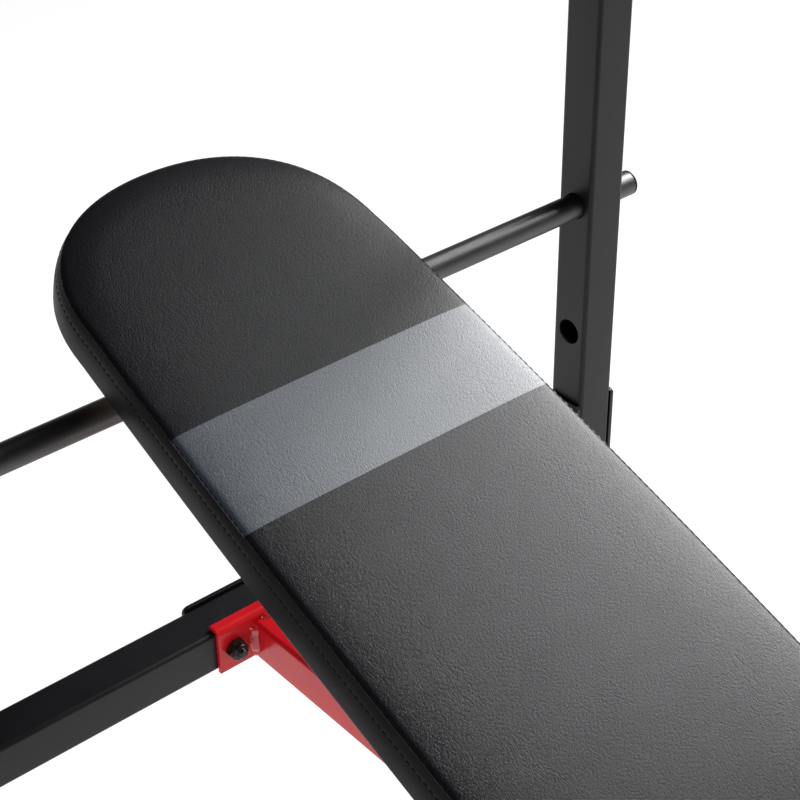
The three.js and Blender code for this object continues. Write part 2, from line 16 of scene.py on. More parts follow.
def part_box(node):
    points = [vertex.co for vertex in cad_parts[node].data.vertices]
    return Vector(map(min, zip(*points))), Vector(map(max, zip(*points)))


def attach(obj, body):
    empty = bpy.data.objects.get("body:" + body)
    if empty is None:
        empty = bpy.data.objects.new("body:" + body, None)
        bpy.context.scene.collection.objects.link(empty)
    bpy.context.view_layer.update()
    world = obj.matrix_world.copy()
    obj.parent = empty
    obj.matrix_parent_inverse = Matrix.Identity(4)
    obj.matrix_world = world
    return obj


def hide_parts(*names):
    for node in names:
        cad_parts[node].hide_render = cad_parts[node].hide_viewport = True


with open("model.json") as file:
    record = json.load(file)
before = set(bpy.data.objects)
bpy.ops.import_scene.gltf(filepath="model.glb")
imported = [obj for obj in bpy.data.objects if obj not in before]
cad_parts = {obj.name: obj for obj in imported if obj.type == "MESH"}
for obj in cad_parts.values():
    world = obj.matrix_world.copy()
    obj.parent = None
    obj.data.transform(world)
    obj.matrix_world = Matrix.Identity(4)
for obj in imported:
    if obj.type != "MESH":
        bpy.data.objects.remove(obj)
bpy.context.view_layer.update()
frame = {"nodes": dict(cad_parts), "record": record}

MM = 0.001
X, Y, Z = Vector((1, 0, 0)), Vector((0, 1, 0)), Vector((0, 0, 1))

# ---- Places taken from the frame ----

BODY_OF = {
    node: body
    for body, nodes in frame["record"]["behaviour"]["bodies"].items()
    for node in nodes
}
INCLINE = math.radians(20)
SIDES = (("left", -1), ("right", 1))


def middle(node):
    low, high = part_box(node)
    return (low + high) / 2


def size_along(node, axis):
    low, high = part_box(node)
    return abs((high - low).dot(axis))


def base_of(node, axis, skip=0):
    """The middle of a node's box, moved to its start along an axis, and on by skip."""
    return middle(node) + axis * (skip - size_along(node, axis) / 2)


def added(name, data):
    """A new object in the scene."""
    made = bpy.data.objects.new(name, data)
    bpy.context.scene.collection.objects.link(made)
    return made


BAR = middle("support_bar")
PIVOT = Vector((0, middle("pivot_bolt").y, middle("pivot_bolt").z))
BACKREST = Matrix.Translation(PIVOT) @ Matrix.Rotation(INCLINE, 4, "X")
BAR_ALONG = (BACKREST.inverted() @ BAR).y
SLOPE = BACKREST.to_3x3() @ Y


# ---- Camera ----


def make_camera():
    heading, pitch, roll = math.radians(39.81), math.radians(34.05), math.radians(0.83)
    data = bpy.data.cameras.new("camera")
    data.sensor_width = 36
    data.lens = 84.15
    camera = added("camera", data)
    turn = Matrix.Rotation(-heading, 4, "Z") @ Matrix.Rotation(math.pi / 2 - pitch, 4, "X")
    place = Matrix.Translation(BAR + Vector((-0.6922, -1.0268, 0.7871)))
    camera.matrix_world = place @ turn @ Matrix.Rotation(-roll, 4, "Z")
    bpy.context.scene.camera = camera


make_camera()


# ---- Materials ----


class Finish:
    """A material, with helpers that add the nodes behind its Principled shader."""

    def __init__(self, name, colour, roughness, gloss=0.5, **constants):
        self.material = bpy.data.materials.new(name)
        self.material.use_nodes = True
        self.tree = self.material.node_tree
        self.shader = self.tree.nodes["Principled BSDF"]
        self.set("Base Color", (*colour, 1))
        self.set("Roughness", roughness)
        self.set("Specular IOR Level", gloss)
        for socket, value in constants.items():
            self.set(socket.replace("_", " "), value)
        self.place = self.node("TexCoord").outputs["Object"]

    def node(self, kind, inputs=None, **settings):
        made = self.tree.nodes.new("ShaderNode" + kind)
        for name, value in settings.items():
            setattr(made, name, value)
        for name, value in (inputs or {}).items():
            self.feed(made.inputs[name], value)
        return made

    def feed(self, socket, value):
        if isinstance(value, bpy.types.NodeSocket):
            self.tree.links.new(value, socket)
        else:
            socket.default_value = value

    def set(self, socket, value):
        self.feed(self.shader.inputs[socket], value)

    def stretched(self, scale):
        return self.node("Mapping", {"Vector": self.place, "Scale": scale}).outputs["Vector"]

    def noise(self, size, detail=2, vector=None):
        """Smooth noise from 0 to 1 with lumps of about `size` metres."""
        inputs = {"Vector": vector or self.place, "Scale": 0.5 / size, "Detail": detail}
        return self.node("TexNoise", inputs).outputs["Fac"]

    def span(self, value, low, high, start=0.3, stop=0.7):
        """A value from start to stop, mapped to a number from low to high."""
        inputs = {"Value": value, "From Min": start, "From Max": stop, "To Min": low, "To Max": high}
        return self.node("MapRange", inputs).outputs["Result"]

    def colour(self, value, *stops):
        """Lays colours along a value, at (position, colour) stops."""
        made = self.node("ValToRGB", {"Fac": value})
        elements = made.color_ramp.elements
        while len(elements) < len(stops):
            elements.new(0.5)
        for element, (position, colour) in zip(elements, stops):
            element.position = position
            element.color = (*colour, 1)
        self.set("Base Color", made.outputs["Color"])

    def blend(self, value, first, second):
        self.colour(value, (0.3, first), (0.7, second))

    def math(self, operation, a, b):
        return self.node("Math", {0: a, 1: b}, operation=operation).outputs["Value"]

    def bump(self, height, distance, under=None):
        inputs = {"Height": height, "Distance": distance, "Strength": 1}
        if under:
            inputs["Normal"] = under
        return self.node("Bump", inputs).outputs["Normal"]

    def dent(self, *heights):
        self.set("Normal", self.bump(*heights))

    def roughen(self, *span):
        self.set("Roughness", self.span(*span))


def powder_black():
    """Satin black powder coat: a fine orange peel and faint cloudiness."""
    finish = Finish("black_powder_coat", (0.011, 0.011, 0.0115), 0.42, 0.3)
    clouds = finish.noise(30 * MM, 3)
    peel = finish.noise(0.9 * MM, 2)
    finish.blend(clouds, (0.0065, 0.0065, 0.0082), (0.0095, 0.0095, 0.0118))
    finish.roughen(finish.math("ADD", clouds, peel), 0.36, 0.47, 0.7, 1.3)
    finish.dent(peel, 0.012 * MM)
    return finish.material


def gloss_black():
    """Glossier black paint, as on the round bar, with faint rubbing along its length."""
    finish = Finish("gloss_black_paint", (0.009, 0.009, 0.0095), 0.42, 1.0)
    rubbed = finish.noise(1.5 * MM, 3, finish.stretched((0.08, 1, 1)))
    clouds = finish.noise(20 * MM, 2)
    finish.blend(clouds, (0.007, 0.007, 0.0075), (0.011, 0.011, 0.012))
    finish.roughen(finish.math("ADD", rubbed, clouds), 0.38, 0.48, 0.7, 1.3)
    finish.dent(finish.noise(1.4 * MM, 2), 0.01 * MM)
    return finish.material


def gloss_red(name, coat):
    """Glossy red enamel with a slow orange peel, under a clear coat."""
    finish = Finish(name, (0.6, 0.008, 0.014), 0.24, 0.3, Coat_Weight=coat, Coat_Roughness=0.08)
    clouds = finish.noise(25 * MM, 2)
    peel = finish.noise(2.2 * MM, 1)
    finish.blend(clouds, (0.58, 0.006, 0.012), (0.66, 0.009, 0.017))
    finish.roughen(clouds, 0.2, 0.28)
    finish.dent(peel, 0.01 * MM)
    return finish.material


GRAIN_WIDTH = 0.62 * MM
GRAIN_LENGTH = 1.6 * MM


def add_grain(finish, depth):
    """A pebble grain drawn out along the backrest, with fine pores.

    Returns the grain's height and slow clouds, both from 0 to 1.
    """
    cell = (GRAIN_WIDTH, GRAIN_LENGTH, GRAIN_WIDTH)
    laid = {"Vector": finish.place, "Rotation": (INCLINE, 0, 0), "Scale": cell}
    along = finish.node("Mapping", laid, vector_type="TEXTURE").outputs["Vector"]
    wander = finish.node("TexNoise", {"Vector": along, "Scale": 0.6, "Detail": 1}).outputs["Color"]
    shifted = finish.node("VectorMath", {0: along, 1: wander}, operation="ADD").outputs["Vector"]
    cells = finish.node("TexVoronoi", {"Vector": shifted, "Scale": 1.0}, feature="SMOOTH_F1")
    pebble = finish.span(cells.outputs["Distance"], 1, 0, 0.1, 0.75)
    pores = finish.noise(0.35 * MM, 2)
    finish.dent(pebble, depth, finish.bump(pores, 0.02 * MM))
    return pebble, finish.noise(18 * MM, 3)


def top_vinyl():
    """Black upholstery vinyl with a satin gloss."""
    finish = Finish("pad_vinyl", (0.005, 0.005, 0.0055), 0.35, 0.3)
    pebble, clouds = add_grain(finish, 0.13 * MM)
    finish.blend(clouds, (0.0032, 0.0033, 0.0048), (0.0048, 0.005, 0.0068))
    finish.roughen(finish.math("ADD", pebble, clouds), 0.41, 0.35, 0.4, 1.5)
    return finish.material


def side_vinyl():
    """The same vinyl on the pads' borders, where it is smoother and duller."""
    finish = Finish("pad_border_vinyl", (0.006, 0.006, 0.0065), 0.42, 0.06)
    pebble, clouds = add_grain(finish, 0.025 * MM)
    finish.blend(clouds, (0.0044, 0.0043, 0.0052), (0.007, 0.0068, 0.008))
    finish.roughen(finish.math("ADD", pebble, clouds), 0.48, 0.38, 0.4, 1.5)
    return finish.material


def slate_ink():
    """The grey band across the backrest: a slate ink with a strong pearly gloss over the vinyl's grain."""
    finish = Finish("slate_band", (0.03, 0.04, 0.053), 0.4, IOR=1.87)
    pebble, clouds = add_grain(finish, 0.13 * MM)
    finish.blend(clouds, (0.012, 0.023, 0.04), (0.017, 0.029, 0.048))
    finish.roughen(pebble, 0.49, 0.43, 0, 1)
    return finish.material


def thread():
    """Black bonded polyester thread with twisted plies, and painted shade in the grooves between them."""
    finish = Finish("black_thread", (0.004, 0.004, 0.004), 0.8, 0.08)
    twist_and_shade = finish.node("TexWave", {"Vector": finish.place, "Scale": 900, "Distortion": 1.5})
    # The grooves are coloured darker than the ridges: painted shade between the plies.
    finish.colour(twist_and_shade.outputs["Fac"], (0.2, (0.002, 0.002, 0.002)), (0.9, (0.005, 0.005, 0.005)))
    finish.dent(twist_and_shade.outputs["Fac"], 0.06 * MM)
    return finish.material


def plywood():
    """Birch plywood: long grain along the pad and a slow waving figure."""
    finish = Finish("plywood", (0.42, 0.29, 0.17), 0.7)
    along = finish.stretched((1, 0.07, 1))
    grain = finish.noise(2.5 * MM, 6, along)
    waves = {"Vector": along, "Scale": 9, "Distortion": 6, "Detail": 3}
    figure = finish.node("TexWave", waves).outputs["Fac"]
    both = finish.math("ADD", finish.math("MULTIPLY", grain, 0.65), finish.math("MULTIPLY", figure, 0.35))
    finish.colour(both, (0.25, (0.3, 0.185, 0.095)), (0.75, (0.52, 0.38, 0.24)))
    finish.roughen(grain, 0.62, 0.82)
    finish.dent(grain, 0.08 * MM)
    return finish.material


def open_foam():
    """Open-cell seat foam: pale, with irregular pores whose centres carry painted shade."""
    finish = Finish("pad_foam", (0.62, 0.57, 0.42), 0.95)
    pores = finish.node("TexVoronoi", {"Vector": finish.place, "Scale": 900}).outputs["Distance"]
    # Darker towards each pore's centre, where the bump is lowest: painted shade inside the open cells.
    finish.colour(pores, (0.1, (0.4, 0.36, 0.25)), (0.6, (0.68, 0.63, 0.48)))
    finish.dent(pores, 0.4 * MM)
    return finish.material


def moulded_plastic():
    """Black moulded plastic with a fine spark-eroded texture."""
    finish = Finish("black_moulded_plastic", (0.015, 0.015, 0.016), 0.55)
    spark = finish.noise(0.5 * MM, 3)
    flow = finish.noise(12 * MM, 2)
    finish.blend(flow, (0.012, 0.012, 0.013), (0.019, 0.019, 0.02))
    finish.roughen(spark, 0.45, 0.65)
    finish.dent(spark, 0.035 * MM)
    return finish.material


def black_zinc():
    """Black zinc plate over steel: dark, a little oily, with bare steel hints in scattered spots."""
    finish = Finish("black_zinc_plate", (0.03, 0.03, 0.03), 0.3, Metallic=0.85)
    stain = finish.noise(1.6 * MM, 4)
    bare = (0.75, (0.09, 0.085, 0.08))
    finish.colour(stain, (0.3, (0.018, 0.018, 0.019)), (0.6, (0.04, 0.036, 0.03)), bare)
    finish.roughen(stain, 0.22, 0.4)
    finish.dent(finish.noise(0.4 * MM, 2), 0.01 * MM)
    return finish.material


def nylon():
    """The blue-grey nylon insert of a lock nut."""
    finish = Finish("nylon_insert", (0.02, 0.04, 0.07), 0.35)
    cloud = finish.noise(1.2 * MM, 2)
    finish.blend(cloud, (0.012, 0.028, 0.05), (0.03, 0.055, 0.09))
    finish.roughen(cloud, 0.3, 0.45)
    return finish.material


FINISHES = {
    "black_frame": powder_black(),
    "red_frame": gloss_red("red_enamel", 0.1),
    "pad_cover": top_vinyl(),
    "pad_foam": open_foam(),
    "pad_board": plywood(),
    "black_plastic": moulded_plastic(),
    "black_zinc": black_zinc(),
}
BORDER = side_vinyl()
SLATE = slate_ink()
GLOSS_BLACK = gloss_black()
THREAD = thread()
POOLED_RED = gloss_red("red_enamel_pooled", 1.0)
NYLON = nylon()


# ---- Mesh helpers ----


def raw_mesh(name, points, faces):
    mesh = bpy.data.meshes.new(name)
    mesh.from_pydata([tuple(p) for p in points], [], faces)
    return mesh


def soften(mesh, sharp):
    """Shades a mesh smooth except where its faces meet at more than `sharp` degrees."""
    mesh.shade_smooth()
    mesh.set_sharp_from_angle(angle=math.radians(sharp))


def mesh_of(name, points, faces, sharp=30):
    mesh = raw_mesh(name, points, faces)
    soften(mesh, sharp)
    return mesh


def opened(mesh):
    work = bmesh.new()
    work.from_mesh(mesh)
    return work


def stored(work, mesh):
    work.to_mesh(mesh)
    work.free()


def band(a, b):
    """Faces between two closed rings, where one may have SPLIT times the other's points."""
    if len(a) == len(b):
        count = len(a)
        return [[a[i], a[(i + 1) % count], b[(i + 1) % count], b[i]] for i in range(count)]
    if len(a) < len(b):
        return [face[::-1] for face in band(b, a)]
    faces = []
    half = SPLIT // 2
    for j, near in enumerate(b):
        far = b[(j + 1) % len(b)]
        edge = [a[(j * SPLIT + k) % len(a)] for k in range(SPLIT + 1)]
        faces += [[edge[k], edge[k + 1], near] for k in range(half)]
        faces += [[edge[k], edge[k + 1], far] for k in range(half, SPLIT)]
        faces.append([edge[half], far, near])
    return faces


def bands(rings):
    """Faces between each of a list of numbered rings and the next."""
    return [face for a, b in zip(rings, rings[1:]) for face in band(a, b)]


def numbered(rings):
    """The points of a list of rings, and for each ring its points' numbers."""
    points, rows = [], []
    for ring in rings:
        rows.append(list(range(len(points), len(points) + len(ring))))
        points.extend(ring)
    return points, rows


def sleeve(rows, sides, start=0, closed=False):
    """Faces of a tube of numbered rings, which closes on itself or is capped at both ends."""
    rings = [list(range(start + i * sides, start + (i + 1) * sides)) for i in range(rows)]
    ends = band(rings[-1], rings[0]) if closed else [rings[0][::-1], rings[-1]]
    return bands(rings) + ends


def show(mesh, body, slot, replaced=(), finish=None):
    """Puts a piece with its mesh's name in the scene, on a body, with the finish of a material slot."""
    piece = added(mesh.name, mesh)
    if not mesh.materials:
        mesh.materials.append(finish or FINISHES[slot])
    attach(piece, body)
    if replaced:
        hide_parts(*replaced)
    return piece


def turns(step, count):
    """Angles from zero, a number of degrees apart."""
    return [math.radians(step * i) for i in range(count)]


def turned(profile, count=48, reach=None, ring=False):
    """Points and faces of a solid turned about Z from (radius, height) pairs.

    The profile starts and ends on the axis, or closes on itself if it is a ring.
    reach(angle, radius, height) may change a point's radius.
    """
    points, rings = [], []
    for radius, height in profile:
        if radius == 0:
            rings.append([len(points)] * count)
            points.append((0, 0, height))
            continue
        rings.append(list(range(len(points), len(points) + count)))
        for angle in turns(360 / count, count):
            r = reach(angle, radius, height) if reach else radius
            points.append((r * math.cos(angle), r * math.sin(angle), height))
    faces = bands(rings) + (band(rings[-1], rings[0]) if ring else [])
    return points, [list(dict.fromkeys(face)) for face in faces]


def stand(mesh, origin, axis, across, *shown):
    """Shows a mesh with its +Z turned to axis, its +X to across, and its origin at a point."""
    columns = Matrix((across, axis.cross(across), axis)).transposed()
    mesh.transform(Matrix.Translation(origin) @ columns.to_4x4())
    show(mesh, *shown)


# ---- Carried-over steel and plastic, with rounded edges ----


def rounded_copy(node, edge, segments):
    """A copy of a CAD node's mesh without its flat triangles' seams, and with its sharp edges rounded."""
    work = opened(frame["nodes"][node].data)
    bmesh.ops.remove_doubles(work, verts=work.verts, dist=0.01 * MM)
    bmesh.ops.dissolve_limit(work, angle_limit=math.radians(0.4), verts=work.verts, edges=work.edges)
    corners = [e for e in work.edges if e.is_manifold and e.calc_face_angle() > math.radians(40)]
    rounding = {"offset": edge, "segments": segments, "profile": 0.5, "clamp_overlap": True}
    bmesh.ops.bevel(work, geom=corners, affect="EDGES", **rounding)
    bmesh.ops.triangulate(work, faces=[f for f in work.faces if len(f.verts) > 4])
    bmesh.ops.recalc_face_normals(work, faces=work.faces)
    ordered = sorted(work.verts, key=lambda v: v.co[:])  # the bevel's own order changes from run to run
    number = {v: i for i, v in enumerate(ordered)}
    points = [v.co.copy() for v in ordered]
    faces = sorted([number[v] for v in f.verts] for f in work.faces)
    work.free()
    return mesh_of(node + "_finished", points, faces, 35)


def finish_node(node, slot, edge=0.5 * MM, segments=2):
    piece = show(rounded_copy(node, edge, segments), BODY_OF[node], slot, [node])
    level = piece.modifiers.new("even_light", "WEIGHTED_NORMAL")
    level.keep_sharp = True


PAINTED = ["cross_tube", "rear_plate", "front_leg", "front_foot", "backrest_rail_left", "backrest_rail_right"]
PAINTED += ["backrest_brace", "seat_bracket_rear", "seat_bracket_front"]
PAIRED = ["upright", "side_foot", "outer_plate", "cross_end_plate", "catch_post", "bar_catch", "clamp_boss"]
PAINTED += [f"{part}_{side}" for side, _ in SIDES for part in PAIRED]
for node in PAINTED:
    finish_node(node, "black_frame")
for node in ("frame_bracket", "main_tube", "pivot_bracket"):
    finish_node(node, "red_frame", 0.6 * MM, 3)
CAPS = ["main_tube_plug", "front_foot_cap_left", "front_foot_cap_right"]
CAPS += [f"foot_cap_{side}_{end}" for side, _ in SIDES for end in ("rear", "front")]
CAPS += [f"upright_collar_{side}" for side, _ in SIDES]
for node in CAPS:
    finish_node(node, "black_plastic", 1.1 * MM, 3)


# ---- Support bar ----


def make_bar():
    length = size_along("support_bar", X)
    radius = size_along("support_bar", Z) / 2
    bore = radius - 1.6 * MM
    lip = 0.4 * MM
    profile = [(bore, 0), (radius - lip, 0), (radius, lip)]
    profile += [(radius, length - lip), (radius - lip, length), (bore, length)]
    tube = mesh_of("support_bar_tube", *turned(profile, 64, ring=True))
    start = base_of("support_bar", X)
    stand(tube, start, X, Y, "support_bar", "black_frame", ["support_bar"], GLOSS_BLACK)
    inner = radius - 2 * MM
    depth = 16 * MM
    dome = [(radius * math.cos(a), 1.6 * MM + 2.6 * MM * math.sin(a)) for a in turns(10, 9)]
    plug = [(0, -depth), (inner - 1 * MM, -depth), (inner, 1 * MM - depth), (inner, 0.3 * MM)]
    plug += [(radius - lip, 0.3 * MM), (radius, 0.3 * MM + lip), *dome, (0, 4.2 * MM)]
    for side, sign in SIDES:
        mesh = mesh_of(f"bar_end_{side}", *turned(plug, 64), 50)
        end = base_of("support_bar", -sign * X)
        stand(mesh, end, sign * X, Y, "support_bar", "black_plastic", [f"support_bar_plug_{side}"])


make_bar()


# ---- Bolts and lock nuts ----


HEAD_RISE = 1.05  # height of a bolt's head, in radii of its thread
THREADED = 18 * MM
THREAD_PITCH = 1.5 * MM


def bolt_mesh(name, radius, length):
    """A mushroom-head bolt along +Z with its bearing face at Z = 0 and a thread on its last stretch."""
    start = length - THREADED

    def reach(angle, r, height):
        if r < radius * 0.99 or height < start:
            return r
        turn = (height / THREAD_PITCH - angle / (2 * math.pi)) % 1
        return r - 0.75 * MM * (1 - abs(2 * turn - 1)) ** 0.8

    head = 2.1 * radius
    rise = HEAD_RISE * radius
    profile = [(0, -rise)]
    for a in turns(7.5, 13)[1:]:
        profile.append((head * math.sin(a), -0.9 * MM - (rise - 0.9 * MM) * math.cos(a)))
    profile += [(head, -0.35 * MM), (head - 0.35 * MM, 0), (radius, 0), (radius, start)]
    point = 1.2 * MM
    steps = round((THREADED - point) / (THREAD_PITCH / 8))
    profile += [(radius, start + (i + 1) * THREAD_PITCH / 8) for i in range(steps)]
    profile += [(radius - point, length), (0, length)]
    return mesh_of(name, *turned(profile, 48, reach), 50)


def nut_mesh(name, flats, height, bore):
    """A hexagonal lock nut with chamfered corners and a rolled collar, open for the bolt."""
    corner = flats / 2 / math.cos(math.radians(30))
    hex_top = 0.72 * height

    def reach(angle, radius, z):
        if radius < corner * 0.99:
            return radius
        off = (math.degrees(angle) + 30) % 60 - 30
        flat = flats / 2 / math.cos(math.radians(30 - abs(off)))
        chamfer = flats / 2 + 1.75 * min(z, hex_top - z)
        return min(flat, chamfer + 0.15 * MM)

    bevels = [0, 0.35 * MM, 0.7 * MM, 1.1 * MM]
    levels = bevels + [hex_top - bevel for bevel in bevels[::-1]]
    collar = 0.44 * flats
    seat = bore + 1.1 * MM
    profile = [(bore, 0.5 * MM), (bore + 0.5 * MM, 0), (flats * 0.46, 0)]
    profile += [(corner, z) for z in levels]
    profile += [(collar + 0.3 * MM, hex_top), (collar, hex_top + 0.3 * MM), (collar, height - 1 * MM)]
    profile += [(collar - 0.3 * MM, height - 0.35 * MM), (collar - 0.9 * MM, height)]
    profile += [(seat + 0.3 * MM, height), (seat, height - 0.3 * MM)]
    profile += [(seat, hex_top + 0.6 * MM), (bore, hex_top + 0.6 * MM)]
    return mesh_of(name, *turned(profile, 72, reach, ring=True), 28)


def insert_mesh(name, height, bore):
    """The nylon ring inside a lock nut's collar."""
    outside = bore + 1.0 * MM
    low, high = 0.72 * height + 0.7 * MM, height - 0.4 * MM
    profile = [(bore, low), (outside, low), (outside, high - 0.2 * MM)]
    profile += [(outside - 0.3 * MM, high), (bore, high)]
    return mesh_of(name, *turned(profile, ring=True), 40)


def fasten(bolt, nut, axis, across, radius, flats, height):
    """Replaces a CAD bolt and its nut. The bolt runs from its head along axis."""
    start = base_of(bolt, axis, HEAD_RISE * radius)
    length = (base_of(bolt, -axis) - start).length
    screw = bolt_mesh(bolt + "_threaded", radius, length)
    stand(screw, start, axis, across, BODY_OF[bolt], "black_zinc", [bolt])
    start = base_of(nut, axis)
    bore = radius + 0.15 * MM
    lock = nut_mesh(nut + "_lock", flats, height, bore)
    stand(lock, start, axis, across, BODY_OF[nut], "black_zinc", [nut])
    insert = insert_mesh(nut + "_insert", height, bore)
    stand(insert, start, axis, across, BODY_OF[nut], "black_plastic", (), NYLON)


# Thread radius, width across the nut's flats, and the nut's height.
M10 = (5 * MM, 17 * MM, 9.6 * MM)
M12 = (6 * MM, 19 * MM, 11 * MM)
for side, sign in SIDES:
    fasten(f"frame_bolt_{side}", f"frame_nut_{side}", -Y, X, *M10)
    for level in ("upper", "lower"):
        fasten(f"side_bolt_{side}_{level}", f"side_nut_{side}_{level}", -sign * X, Z, *M10)
fasten("pivot_bolt", "pivot_nut", X, Z, *M12)


# ---- Weld beads ----


def evenly(path, step, closed):
    """Points along a path, a step apart."""
    corners = path + path[:1] if closed else path
    legs = [(b - a).length for a, b in zip(corners, corners[1:])]
    total = sum(legs)
    count = max(4, round(total / step))
    points, leg, passed = [], 0, 0.0
    for i in range(count if closed else count + 1):
        wanted = total * i / count
        while leg < len(legs) - 1 and passed + legs[leg] < wanted:
            passed += legs[leg]
            leg += 1
        share = (wanted - passed) / legs[leg]
        points.append(corners[leg].lerp(corners[leg + 1], share))
    return points, total / count


RIPPLE = 2.3 * MM


def weld(name, path, body="frame", slot="black_frame", radius=2.6 * MM, closed=True, sides=14):
    """A bead with overlapping ripples and a hand-laid wander along a path of points."""
    spine, step = evenly(path, 0.5 * MM, closed)
    count = len(spine)
    points = []
    for i, centre in enumerate(spine):
        after = spine[(i + 1) % count] if closed else spine[min(i + 1, count - 1)]
        before = spine[i - 1] if closed else spine[max(i - 1, 0)]
        ahead = (after - before).normalized()
        side = ahead.orthogonal().normalized() if abs(ahead.z) > 0.9 else ahead.cross(Z).normalized()
        up = side.cross(ahead)
        phase = (i * step / RIPPLE) % 1
        wander = noise.noise(centre * 180)
        size = radius * (0.88 + 0.16 * math.sin(math.pi * phase) ** 0.7 + 0.16 * wander)
        if not closed:
            ends = min(i, count - 1 - i) * step
            size *= math.sqrt(min(1, (ends + 0.15 * MM) / (1.6 * radius)))
        shift = ahead * (0.35 * radius)
        for angle in turns(360 / sides, sides):
            spot = Vector((math.cos(angle), math.sin(angle), 0))
            bulge = size * (1 + 0.08 * noise.noise(centre * 500 + spot))
            reach = side * spot.x + up * spot.y
            lag = (1 - 2 * abs(spot.x)) * (phase - 0.5) * 0.5
            points.append(centre + reach * bulge + shift * lag)
    show(mesh_of(name, points, sleeve(count, sides, closed=closed), 60), body, slot)


def fillet(name, path, first, second, leg):
    """A lumpy weld in the corner between two faces, which run off from a path along two directions."""
    spine, step = evenly(path, 0.6 * MM, False)
    count, steps = len(spine), 8
    sink = 0.15 * MM
    points = []
    for i, centre in enumerate(spine):
        lump = 0.8 + 0.35 * noise.noise(centre * 130)
        ends = min(i, count - 1 - i) * step
        size = leg * lump * math.sqrt(min(1, (ends + 0.3 * MM) / (0.6 * leg)))
        one = size * (1 + 0.25 * noise.noise(centre * 190 + first))
        two = size * (1 + 0.25 * noise.noise(centre * 190 + second))
        points.append(centre - (first + second) * 0.4 * MM)
        for k in range(steps + 1):
            angle = math.radians(90 * k / steps)
            straight = k / steps
            a = 0.45 * math.cos(angle) + 0.5 * (1 - straight)
            b = 0.45 * math.sin(angle) + 0.5 * straight
            ripple = 0.7 * MM * math.sin(math.pi * straight) * noise.noise(centre * 150 + Z * 9)
            points.append(centre + first * (one * a - sink + ripple) + second * (two * b - sink + ripple))
    mesh = raw_mesh(name, points, sleeve(count, steps + 2))
    work = opened(mesh)
    bmesh.ops.recalc_face_normals(work, faces=work.faces)
    stored(work, mesh)
    soften(mesh, 50)
    show(mesh, "frame", "red_frame", finish=POOLED_RED)


def loop(centre, along, across, length, width, corner=4 * MM):
    """A rounded rectangle of points about a centre."""
    path = []
    for quarter, (su, sv) in enumerate(((1, 1), (-1, 1), (-1, -1), (1, -1))):
        for i in range(5):
            angle = math.radians(90 * quarter + 22.5 * i)
            u = su * (length / 2 - corner) + corner * math.cos(angle)
            v = sv * (width / 2 - corner) + corner * math.sin(angle)
            path.append(centre + along * u + across * v)
    return path


BRACE = 25 * MM  # width of the tube between the backrest's rails
WELD_GAP = 0.4 * MM  # from a face to the middle of the bead along it


def weld_round(name, node, axis, end, along, across, **options):
    """A bead round the end of a tube that runs along an axis."""
    centre = base_of(node, axis if end < 0 else -axis)
    length = size_along(node, along) + 2 * WELD_GAP
    width = size_along(node, across) + 2 * WELD_GAP
    weld(name, loop(centre, along, across, length, width), **options)


def make_welds():
    for side, sign in SIDES:
        weld_round(f"weld_upright_{side}", f"upright_{side}", Z, -1, X, Y)
        weld_round(f"weld_cross_tube_{side}", "cross_tube", X, sign, Y, Z)
        post = {"body": f"catch_{side}", "radius": 2.2 * MM}
        weld_round(f"weld_catch_{side}", f"catch_post_{side}", Z, 1, X, Y, **post)
        boss = f"clamp_boss_{side}"
        inner = base_of(boss, sign * X)
        reach = (size_along(boss, Y) + 1 * MM) / 2
        ring = [inner + (Y * math.cos(a) + Z * math.sin(a)) * reach for a in turns(15, 24)]
        weld(f"weld_clamp_boss_{side}", ring, radius=2 * MM)

        inner_face = base_of(f"backrest_rail_{side}", sign * X).x
        brace = (BACKREST.inverted() @ middle("backrest_brace")).y
        at = BACKREST @ Vector((inner_face, brace, 0))
        around = BRACE + 2 * WELD_GAP
        ring = loop(at, SLOPE, SLOPE.cross(X), around, around, 3.4 * MM)
        weld(f"weld_brace_{side}", ring, body="backrest", radius=2 * MM)

    low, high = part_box("front_leg")
    tube = size_along("front_leg", X)
    around = tube + 2 * WELD_GAP
    foot = Vector((0, low.y + tube / 2, low.z))
    head = Vector((0, high.y - tube / 2, high.z))
    weld("weld_front_leg_foot", loop(foot, X, Y, around, around))
    weld("weld_front_leg_head", loop(head, X, Y, around, around))

    main_low, main_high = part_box("main_tube")
    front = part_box("frame_bracket")[0].y
    top = main_high.z
    ear_low, ear_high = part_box("pivot_bracket")
    for side, sign in SIDES:
        x = sign * main_high.x
        path = [Vector((x, front, z)) for z in (top - 2 * MM, main_low.z + 3 * MM)]
        fillet(f"weld_bracket_{side}", path, -Y, sign * X, 7 * MM)
        path = [Vector((x, y, top + WELD_GAP)) for y in (ear_low.y + 1 * MM, ear_high.y - 1 * MM)]
        weld(f"weld_pivot_bracket_{side}", path, slot="red_frame", radius=2.4 * MM, closed=False)
    path = [Vector((-13 * MM, front, top)), Vector((0, front, top))]
    fillet("weld_bracket_top", path, -Y, Z, 6.5 * MM)
    for place in ("rear", "front"):
        low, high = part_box(f"seat_bracket_{place}")
        for name, y in (("a", low.y - WELD_GAP), ("b", high.y + WELD_GAP)):
            ends = [Vector((sign * (main_high.x - 3 * MM), y, top + WELD_GAP)) for sign in (-1, 1)]
            weld(f"weld_seat_bracket_{place}_{name}", ends, radius=2.4 * MM, closed=False)


make_welds()


# ---- Clamp knobs ----


KNOB_NECK = 5 * MM
KNOB_GRIP = 20 * MM


